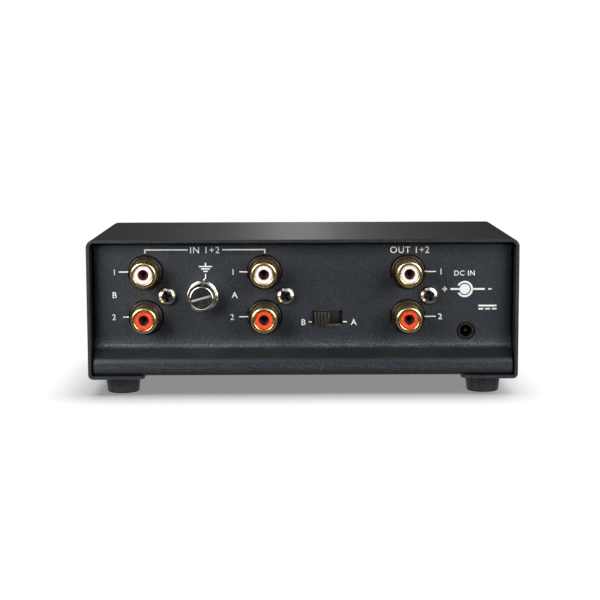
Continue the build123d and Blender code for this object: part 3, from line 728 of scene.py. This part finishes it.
def earthScrew(d, under):
    backEdge, shoulderEdge, faceEdge = d["headEdges"]
    top = under + d["headLength"]
    screw = lathe(
        "earthScrew",
        [
            (0, under - d["threadLength"], 0),
            (d["shank"], under - d["threadLength"], d["shankEdge"]),
            (d["shank"], under, 0),
            (d["head"], under, backEdge),
            (d["head"], top - d["shoulder"], shoulderEdge),
            (d["headFace"], top, faceEdge),
            (0, top, 0),
        ],
        sides=96,
        steps=5,
    )
    turn = math.radians(d["slotTurn"])
    reach, half = d["slotReach"] * mm, d["slotWidth"] / 2 * mm
    floor = (top - d["slotDepth"]) * mm
    slot = slab("slot", (-reach, -half, floor), (reach, half, (top + 1) * mm))
    slot.data.transform(Matrix.Rotation(turn, 4, "Z"))
    carve(screw, slot)
    across = Vector((-math.sin(turn), math.cos(turn), 0))
    markShadeOrSlot(
        screw,
        lambda spot, facing: floor - slack < spot.z < top * mm - slack
        and abs(spot.dot(across)) < half + slack
        and spot.xy.length < reach + 2 * slack,
    )
    return screw


def makeEarthTerminal():
    d = earth
    seat = d["bushThickness"]
    bush = earthBush(d)
    washer = earthWasher(d, seat)
    screw = earthScrew(d, seat + d["washerThickness"])
    for piece in (bush, washer, screw):
        piece.data.transform(outwardMatrix(earthAxis.x, earthAxis.z))
    finishPiece(bush, "case", "bright_nickel", "bright_nickel", "ground_bush")
    finishPiece(washer, "earth_washer", "bright_nickel", "bright_nickel", "ground_washer")
    finishPiece(screw, "earth_screw", "bright_nickel", "bright_nickel", "ground_screw", recess="slotSteel")
    print("earth terminal made")


makeEarthTerminal()

foot = {
    "height": 5.3,
    "top": 5.6,
    "topEdge": 0.25,
    "bottom": 5.1,
    "edge": 0.6,
    "flare": (0.06, 0.5),  # outwards and upwards from the bottom edge
    "pocket": 3.0,
    "pocketDepth": 3.0,
    "pocketEdge": 0.2,
    "bore": 1.6,
    "shade": 0.5,  # height of the band of painted contact shadow at the bottom
}


def makeFeet():
    d = foot
    low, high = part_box("rubber_feet")
    reach = d["top"] * mm
    out, up = d["flare"]
    piece = lathe(
        "rubberFoot",
        [
            (d["bore"], d["height"], 0),
            (d["top"], d["height"], d["topEdge"]),
            (d["bottom"] + out, d["edge"] + up, 0),
            (d["bottom"], 0, d["edge"]),
            (d["pocket"], 0, d["pocketEdge"]),
            (d["pocket"], d["pocketDepth"], 0),
            (d["bore"], d["pocketDepth"], 0),
        ],
        steps=5,
    )
    # the bottom band gets painted shade
    markShadeOrSlot(piece, lambda spot, facing: spot.z < d["shade"] * mm)
    spots = [(x, low.y + reach, 0) for x in (low.x + reach, high.x - reach)]
    step = high.y - low.y - 2 * reach
    feet = repeat("rubberFeet", piece, spots, "foot_rubber", rows=2, rowStep=(0, step, 0))
    finishPiece(feet, "case", "foot_rubber", "foot_rubber", "rubber_feet", recess="shadedRubber")
    print("feet made:", 2 * len(spots))


makeFeet()

knob = {
    "width": 4.8,
    "height": 3.95,
    "proud": 1.5,
    "edge": 0.2,
    "endEdge": 0.12,
    "grooves": 4,
    "pitch": 1.05,
    "groove": 0.52,
    "grooveDepth": 0.5,
    "grooveEdge": 0.16,
    "plateSetback": 1.5,
    "plateEdge": 0.05,
}


def knobOutline(d):
    half, front, floor = d["width"] / 2, -d["proud"], d["grooveDepth"] - d["proud"]
    corners = [(-half, d["plateSetback"], 0), (-half, front, d["edge"])]
    for index in range(d["grooves"]):
        x = (index - (d["grooves"] - 1) / 2) * d["pitch"]
        near, far = x - d["groove"] / 2, x + d["groove"] / 2
        for side, y in ((near, front), (near, floor), (far, floor), (far, front)):
            corners.append((side, y, d["grooveEdge"]))
    return corners + [(half, front, d["edge"]), (half, d["plateSetback"], 0)]


def makeKnob():
    # grooved knob on the plate that closes the window behind it; the plate gets a near-black finish,
    # painted shade
    d = knob
    low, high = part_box("switch_slider")
    middle = (low + high) / 2
    plateFront = panelFace + d["plateSetback"] * mm
    outline = [(middle.x + x * mm, panelFace + y * mm) for x, y in rounded(knobOutline(d), steps=3)]
    reach = d["height"] / 2 * mm
    ribbed = prism("switchKnob", outline, middle.z - reach, middle.z + reach, d["endEdge"] * mm)
    plate = slab("switchPlate", (low.x, plateFront, low.z), (high.x, high.y, high.z), d["plateEdge"] * mm)
    joined = bmesh.new()
    for piece in (ribbed, plate):
        joined.from_mesh(piece.data)
        bpy.data.objects.remove(piece)
    slider = meshObject("switchSlider", joined)
    markShadeOrSlot(slider, lambda spot, facing: spot.y > plateFront - slack)
    finishPiece(
        slider, "switch_knob", "switch_plastic", "switch_plastic", "switch_slider", recess="recessSteel"
    )
    print("switch knob made")


makeKnob()

sheets = {
    "edge": 0.12,  # width of the broken edges
    "sharp": 40,
    "merge": 0.002,
    "flat": 0.5,
    "pieces": {  # finish and slot
        "outer_cover": ("case_coat", "case_coat"),
        "chassis_tray": ("trayCoat", "case_coat"),
        "front_fascia": ("fascia_coat", "fascia_coat"),
    },
}


def makeSheet(node, finish, slotName):
    # merged copy of a packed sheet with its sharp edges broken
    mesh = nodes[node].data.copy()
    work = bmesh.new()
    work.from_mesh(mesh)
    bmesh.ops.remove_doubles(work, verts=work.verts, dist=sheets["merge"] * mm)
    flat = math.radians(sheets["flat"])
    bmesh.ops.dissolve_limit(work, angle_limit=flat, verts=work.verts, edges=work.edges)
    work.to_mesh(mesh)
    work.free()
    piece = shown(camel(node), mesh)
    modifier = piece.modifiers.new("brokenEdges", "BEVEL")
    modifier.width = sheets["edge"] * mm
    modifier.segments = 2
    modifier.limit_method = "ANGLE"
    modifier.angle_limit = math.radians(sheets["sharp"])
    modifier.use_clamp_overlap = True
    flats = piece.modifiers.new("flats", "WEIGHTED_NORMAL")
    flats.mode = "FACE_AREA"
    flats.weight = 100
    flats.keep_sharp = True
    settle(piece, sharpen=False)
    finishPiece(piece, "case", finish, slotName, node)
    print(piece.name, "softened, faces:", len(piece.data.polygons))


for node, (finish, slotName) in sheets["pieces"].items():
    makeSheet(node, finish, slotName)

ink = {"proud": 0.02, "sunk": 0.005, "letter": 2.1, "capShare": 0.72, "weight": 0.015}

# width and strokes of each mark on the panel, a stroke from (x, z) to (x, z)
strokeMarks = {
    "bracket": (
        0.42,
        (
            (-49.6, 45.7, -36.1, 45.7),
            (-49.6, 45.9, -49.6, 44.6),
            (-25.35, 45.7, -11.9, 45.7),
            (-11.9, 45.9, -11.9, 44.6),
        ),
    ),
    "inputLeads": (
        0.36,
        (
            (-57.97, 38.76, -54.93, 38.76),
            (-56.8, 24.45, -54.93, 24.45),
            (-20.0, 38.7, -17.2, 38.7),
            (-20.0, 24.4, -17.2, 24.4),
        ),
    ),
    "outputLeads": (0.36, ((38.4, 38.6, 42.0, 38.6), (38.4, 24.35, 42.0, 24.35))),
    "switchDashes": (0.3, ((1.9, 22.7, 2.8, 22.7), (12.7, 22.7, 13.9, 22.7))),
    "plugLeads": (0.6, ((46.6, 33.0, 49.6, 33.0), (53.4, 33.0, 57.4, 33.0))),
    "plus": (0.42, ((44.0, 33.0, 45.5, 33.0), (44.75, 32.25, 44.75, 33.75))),
    "minus": (0.42, ((58.5, 33.0, 59.6, 33.0),)),
    "currentBar": (0.55, ((55.5, 27.7, 61.2, 27.7),)),
    "currentDashes": (
        0.5,
        ((55.5, 26.7, 57.0, 26.7), (57.6, 26.7, 59.1, 26.7), (59.7, 26.7, 61.2, 26.7)),
    ),
    "earthBars": (
        0.36,
        ((-32.7, 40.4, -28.5, 40.4), (-32.0, 39.65, -29.2, 39.65), (-31.3, 38.9, -29.9, 38.9)),
    ),
    "earthLeads": (
        0.36,
        ((-30.6, 41.5, -30.6, 40.5), (-30.6, 38.1, -30.6, 36.75), (-30.55, 36.85, -31.5, 35.9)),
    ),
}
plugMark = {
    "centre": (51.1, 33.0),
    "ring": (2.6, 1.98),
    "opening": 30,
    "disc": 1.62,
    "steps": 28,
    "sides": 32,
}

# text, left end, baseline, share of the letter height and spacing
lettering = (
    ("IN 1+2", -35.6, 44.6, 1.0, 1.15),
    ("OUT 1+2", 27.4, 44.5, 1.0, 1.1),
    ("1", -60.0, 37.75, 0.9, 1.0),
    ("2", -60.3, 23.5, 0.9, 1.0),
    ("B", -60.2, 30.5, 0.95, 1.0),
    ("1", -22.6, 37.75, 0.9, 1.0),
    ("2", -23.0, 23.4, 0.9, 1.0),
    ("A", -22.4, 30.4, 0.95, 1.0),
    ("B", -0.6, 21.7, 0.92, 1.0),
    ("A", 15.2, 21.7, 0.92, 1.0),
    ("1", 42.9, 37.65, 0.9, 1.0),
    ("2", 42.7, 23.4, 0.9, 1.0),
    ("DC IN", 47.6, 37.3, 0.78, 1.1),
)


def bar(x0, z0, x1, z1, width):
    # straight stroke between two points
    along = Vector((x1 - x0, z1 - z0)).normalized() * width / 2
    side = Vector((-along.y, along.x))
    start, end = Vector((x0, z0)), Vector((x1, z1))
    return [tuple(start + side), tuple(start - side), tuple(end - side), tuple(end + side)]


def plugOutlines():
    # open ring round a disc
    d = plugMark
    x, z = d["centre"]
    outer, inner = d["ring"]
    end = 180 - d["opening"]
    angles = [math.radians(-end + 2 * end * step / d["steps"]) for step in range(d["steps"] + 1)]
    ring = [(x + outer * math.cos(a), z + outer * math.sin(a)) for a in angles]
    ring += [(x + inner * math.cos(a), z + inner * math.sin(a)) for a in reversed(angles)]
    turns = [2 * math.pi * side / d["sides"] for side in range(d["sides"])]
    return [ring, [(x + d["disc"] * math.cos(a), z + d["disc"] * math.sin(a)) for a in turns]]


def panelLines():
    # closed flat outlines, raised off the panel
    outlines = [bar(*stroke, width) for width, strokes in strokeMarks.values() for stroke in strokes]
    back, front = panelFace + ink["sunk"] * mm, panelFace - ink["proud"] * mm
    body = bmesh.new()
    for outline in outlines + plugOutlines():
        rings = [[(x * mm, y, z * mm) for x, z in outline] for y in (back, front)]
        upright(body, *rings)
    return meshObject("panelLines", body)


def panelLetters():
    name = "panelLetters"
    body = bmesh.new()
    for text, x, z, share, spacing in lettering:
        curve = bpy.data.curves.new(name, "FONT")
        curve.body = text
        curve.size = ink["letter"] * share / ink["capShare"] * mm
        curve.space_character = spacing
        curve.extrude = ink["proud"] / 2 * mm
        curve.offset = ink["weight"] * mm
        curve.resolution_u = 3
        source = bpy.data.objects.new(name, curve)
        scene.collection.objects.link(source)
        mesh = evaluated(source)
        mesh.transform(outwardMatrix(x * mm, z * mm, ink["proud"] / 2 * mm))
        body.from_mesh(mesh)
        bpy.data.meshes.remove(mesh)
        bpy.data.objects.remove(source)
    bmesh.ops.remove_doubles(body, verts=body.verts, dist=samePlace)
    return meshObject(name, body)


for piece in (panelLines(), panelLetters()):
    finishPiece(piece, "case", "printInk", "case_coat")
print("print made")

# the studio and its lamps are in metres
studio = {
    "floorSize": 3.0,
    "floorColor": (0.84, 0.84, 0.85),
    "floorBounce": (0.2, 0.2, 0.2),
    "floorGlow": 0.252,
    "white": 1.03,
    "shadowReach": (-0.004, 0.0205),  # from the case to where the floor is white
    "shadowShift": 0.003,
    "shadowSide": 0.0045,
    "table": 0.3,
    "tableFront": (-0.075, -0.05),
    "fill": 0.08,
    "fillTint": (0.96, 0.98, 1.0),
    "room": 0.03,
    "backdrop": 1.85,
    "backdropHalf": (0.006, 0.032),
}


def seenRays(tree):
    # 1 for camera, glossy and transmission rays
    path = put(tree, "ShaderNodeLightPath")
    first = put(tree, "ShaderNodeMath", operation="MAXIMUM")
    second = put(tree, "ShaderNodeMath", operation="MAXIMUM")
    tree.links.new(path.outputs["Is Camera Ray"], first.inputs[0])
    tree.links.new(path.outputs["Is Glossy Ray"], first.inputs[1])
    tree.links.new(first.outputs[0], second.inputs[0])
    tree.links.new(path.outputs["Is Transmission Ray"], second.inputs[1])
    return second.outputs[0]


def whiteFade(tree, coords):
    # 0 in the shadow beside the case, 1 where the floor is white
    start, end = studio["shadowReach"]
    value = coords
    for operation, operand in (
        ("ADD", (studio["shadowShift"], 0, 0)),
        ("ABSOLUTE", (0, 0, 0)),
        ("SUBTRACT", (coverHigh.x + start - studio["shadowSide"], coverHigh.y + start, 0)),
        ("MAXIMUM", (0, 0, 0)),
        ("LENGTH", (0, 0, 0)),
    ):
        step = put(tree, "ShaderNodeVectorMath", operation=operation)
        step.inputs[1].default_value = operand
        tree.links.new(value, step.inputs[0])
        value = step.outputs["Value" if operation == "LENGTH" else "Vector"]
    fade = put(tree, "ShaderNodeMapRange", interpolation_type="SMOOTHSTEP", From_Min=0)
    fade.inputs["From Max"].default_value = end - start
    tree.links.new(value, fade.inputs["Value"])
    return fade.outputs["Result"]


def tableSeen(tree, coords):
    # grey table that ends in front of the case
    split = put(tree, "ShaderNodeSeparateXYZ")
    near, far = studio["tableFront"]
    ends = put(tree, "ShaderNodeMapRange", interpolation_type="SMOOTHSTEP", From_Min=near, From_Max=far)
    ends.inputs["To Min"].default_value = studio["room"]
    ends.inputs["To Max"].default_value = studio["table"]
    table = put(tree, "ShaderNodeEmission")
    tree.links.new(coords, split.inputs[0])
    tree.links.new(split.outputs["Y"], ends.inputs["Value"])
    tree.links.new(ends.outputs["Result"], table.inputs["Strength"])
    return table.outputs[0]


def floorFinish():
    # pale with the case's shadow, white further out; metal sees the table instead
    finish = bpy.data.materials.new("paleFloor")
    finish.use_nodes = True
    tree = finish.node_tree
    tree.nodes.clear()
    link = tree.links.new
    out = put(tree, "ShaderNodeOutputMaterial")
    seen = seenRays(tree)
    coords = put(tree, "ShaderNodeTexCoord").outputs["Object"]
    tone = put(tree, "ShaderNodeMix", data_type="RGBA")  # its colours are sockets 6 and 7
    tone.inputs[6].default_value = (*studio["floorBounce"], 1)
    tone.inputs[7].default_value = (*studio["floorColor"], 1)
    matt = put(tree, "ShaderNodeBsdfDiffuse")
    strength = put(tree, "ShaderNodeMath", operation="MULTIPLY")
    strength.inputs[1].default_value = studio["floorGlow"]
    glow = put(tree, "ShaderNodeEmission")
    both = put(tree, "ShaderNodeAddShader")
    clear = put(tree, "ShaderNodeEmission", Strength=studio["white"])
    amount = put(tree, "ShaderNodeMath", operation="MULTIPLY")
    whiten = put(tree, "ShaderNodeMixShader")
    path = put(tree, "ShaderNodeLightPath")
    mirrored = put(tree, "ShaderNodeMixShader")
    link(seen, tone.inputs[0])
    link(tone.outputs[2], matt.inputs["Color"])
    link(seen, strength.inputs[0])
    link(strength.outputs[0], glow.inputs["Strength"])
    link(matt.outputs[0], both.inputs[0])
    link(glow.outputs[0], both.inputs[1])
    link(whiteFade(tree, coords), amount.inputs[0])
    link(seen, amount.inputs[1])
    link(amount.outputs[0], whiten.inputs["Fac"])
    link(both.outputs[0], whiten.inputs[1])
    link(clear.outputs[0], whiten.inputs[2])
    link(path.outputs["Is Glossy Ray"], mirrored.inputs["Fac"])
    link(whiten.outputs[0], mirrored.inputs[1])
    link(tableSeen(tree, coords), mirrored.inputs[2])
    link(mirrored.outputs[0], out.inputs["Surface"])
    return finish


def makeFloor():
    half = studio["floorSize"] / 2
    mesh = bpy.data.meshes.new("floor")
    corners = [(-half, -half, 0), (half, -half, 0), (half, half, 0), (-half, half, 0)]
    mesh.from_pydata(corners, [], [(0, 1, 2, 3)])
    mesh.materials.append(floorFinish())
    floor = bpy.data.objects.new("floor", mesh)
    scene.collection.objects.link(floor)
    return floor


def makeRoom():
    # white to the camera; metal sees a bright backdrop behind the case and a dim room in front of it
    room = bpy.data.worlds.new("studioRoom")
    scene.world = room
    room.use_nodes = True
    tree = room.node_tree
    tree.nodes.clear()
    link = tree.links.new
    out = put(tree, "ShaderNodeOutputWorld")
    fill = put(tree, "ShaderNodeBackground", Strength=studio["fill"], Color=(*studio["fillTint"], 1))
    white = put(tree, "ShaderNodeBackground", Strength=studio["white"], Color=(1, 1, 1, 1))
    gloss = put(tree, "ShaderNodeBackground", Color=(1, 1, 1, 1))
    path = put(tree, "ShaderNodeLightPath")
    coords = put(tree, "ShaderNodeTexCoord")
    split = put(tree, "ShaderNodeSeparateXYZ")
    side = put(tree, "ShaderNodeMath", operation="ABSOLUTE")
    wide = put(tree, "ShaderNodeMapRange", interpolation_type="SMOOTHSTEP", To_Min=1, To_Max=0)
    wide.inputs["From Min"].default_value, wide.inputs["From Max"].default_value = studio["backdropHalf"]
    behind = put(tree, "ShaderNodeMath", operation="GREATER_THAN")
    behind.inputs[1].default_value = 0
    both = put(tree, "ShaderNodeMath", operation="MULTIPLY")
    level = put(tree, "ShaderNodeMapRange", To_Min=studio["room"], To_Max=studio["backdrop"])
    glossMix = put(tree, "ShaderNodeMixShader")
    cameraMix = put(tree, "ShaderNodeMixShader")
    link(coords.outputs["Generated"], split.inputs[0])
    link(split.outputs["X"], side.inputs[0])
    link(side.outputs[0], wide.inputs["Value"])
    link(split.outputs["Y"], behind.inputs[0])
    link(wide.outputs["Result"], both.inputs[0])
    link(behind.outputs[0], both.inputs[1])
    link(both.outputs[0], level.inputs["Value"])
    link(level.outputs["Result"], gloss.inputs["Strength"])
    link(path.outputs["Is Glossy Ray"], glossMix.inputs["Fac"])
    link(fill.outputs[0], glossMix.inputs[1])
    link(gloss.outputs[0], glossMix.inputs[2])
    link(path.outputs["Is Camera Ray"], cameraMix.inputs["Fac"])
    link(glossMix.outputs[0], cameraMix.inputs[1])
    link(white.outputs[0], cameraMix.inputs[2])
    link(cameraMix.outputs[0], out.inputs["Surface"])


lamps = {
    "warmWhite": (1, 0.99, 0.97),
    "aimHeight": 0.03,
    "boxAim": 0.05,  # how far out on its own half a box is aimed
    "boxSpread": 74,
    # place, size and watts
    "boxes": (
        ("leftBox", (-0.20, -0.21, 0.13), (0.18, 0.2), 0.2),
        ("rightBox", (0.21, -0.21, 0.12), (0.18, 0.2), 0.145),
    ),
    # place, size, watts and the pieces that mirror them
    "glints": (
        ("leftGlint", (-0.26, -0.25, 0.22), (0.26, 0.24), 1.6, "jacksOnly"),
        ("rightGlint", (0.26, -0.25, 0.21), (0.26, 0.24), 1.6, "jacksOnly"),
        ("leftTallGlint", (-0.26, -0.25, 0.2), (0.28, 0.42), 2.6, "restOnly"),
        ("rightTallGlint", (0.26, -0.25, 0.19), (0.28, 0.42), 2.6, "restOnly"),
        ("frontGlint", (0, -0.35, 0.22), (0.3, 0.05), 0.1, "bareOnly"),
        ("lowGlint", (earthAxis.x, -0.06, 0.004), (0.05, 0.03), 0.006, "earthOnly"),
    ),
    # place, aim, size, watts and the pieces they light
    "singles": (
        ("fasciaBox", (-0.22, 0.3, 0.2), (0, coverHigh.y, 0.025), (0.12, 0.16), 0.5, "fasciaOnly"),
        ("floorLamp", (0, 0.02, 0.35), (0, 0.02, 0), (0.5, 0.5), 1.1, "floorOnly"),
    ),
}


def softBox(name, spot, aim, size, power, reach, color=(1, 1, 1)):
    # reach is the collection of the pieces that it lights
    lamp = bpy.data.lights.new(name, "AREA")
    lamp.shape = "RECTANGLE"
    lamp.size, lamp.size_y = size
    lamp.energy = power
    lamp.color = color
    holder = bpy.data.objects.new(name, lamp)
    holder.location = spot
    holder.rotation_euler = (Vector(aim) - Vector(spot)).to_track_quat("-Z", "Y").to_euler()
    holder.light_linking.receiver_collection = reach
    scene.collection.objects.link(holder)
    return holder


def lampReaches(floor):
    # the pieces that each kind of lamp lights, as collections
    pieces = [piece for piece in scene.objects if piece.type == "MESH" and piece != floor]
    coated = [piece for piece in pieces if piece.data.materials and "Coat" in piece.data.materials[0].name]
    bare = [piece for piece in pieces if piece not in coated]
    jacks = [piece for piece in bare if piece.name in ("jackShells", "jackSleeves")]
    members = {
        "coatOnly": coated,
        "bareOnly": bare,
        "jacksOnly": jacks,
        "restOnly": [piece for piece in bare if piece not in jacks],
        "earthOnly": [piece for piece in bare if piece.name.startswith("earth")],
        "fasciaOnly": [piece for piece in coated if "fascia" in piece.name.lower()],
        "floorOnly": [floor],
    }
    reaches = {}
    for name, group in members.items():
        reaches[name] = bpy.data.collections.new(name)
        for piece in group:
            reaches[name].objects.link(piece)
    return reaches


def makeLights(floor):
    aim = (0, panelFace, lamps["aimHeight"])
    color = lamps["warmWhite"]
    reaches = lampReaches(floor)
    for name, spot, size, power in lamps["boxes"]:
        # one for the coated pieces and one, not mirrored, for the bare ones
        ownHalf = (math.copysign(lamps["boxAim"], spot[0]), *aim[1:])
        for reach in ("coatOnly", "bareOnly"):
            box = softBox(name, spot, ownHalf, size, power, reaches[reach], color)
            box.data.spread = math.radians(lamps["boxSpread"])
            box.visible_glossy = reach == "coatOnly"
    for name, spot, size, power, reach in lamps["glints"]:
        glint = softBox(name, spot, aim, size, power, reaches[reach], color)
        glint.visible_camera = False
        glint.visible_diffuse = False
    for name, spot, target, size, power, reach in lamps["singles"]:
        softBox(name, spot, target, size, power, reaches[reach])


view = {
    "spot": (-1.7, -526.25, 92.6),
    "yaw": 0.094,
    "pitch": -7.208,
    "roll": -0.19,
    "focalPixels": 1588.5,
    "framePixels": 600,
    "sensor": 36,
    "near": 10,
}


def makeCamera():
    yaw, pitch, roll = (math.radians(view[name]) for name in ("yaw", "pitch", "roll"))
    ahead = Vector((math.sin(yaw) * math.cos(pitch), math.cos(yaw) * math.cos(pitch), math.sin(pitch)))
    right = Vector((math.cos(yaw), -math.sin(yaw), 0))
    up = right.cross(ahead)
    across = right * math.cos(roll) + up * math.sin(roll)
    upward = -right * math.sin(roll) + up * math.cos(roll)
    lens = bpy.data.cameras.new("camera")
    lens.sensor_width = view["sensor"]
    lens.lens = view["focalPixels"] / view["framePixels"] * view["sensor"]
    lens.clip_start = view["near"] * mm
    camera = bpy.data.objects.new("camera", lens)
    turn = Matrix((across, upward, -ahead)).transposed().to_4x4()
    camera.matrix_world = Matrix.Translation([place * mm for place in view["spot"]]) @ turn
    scene.collection.objects.link(camera)
    scene.camera = camera


floor = makeFloor()
makeRoom()
makeLights(floor)
makeCamera()
print("studio ready")
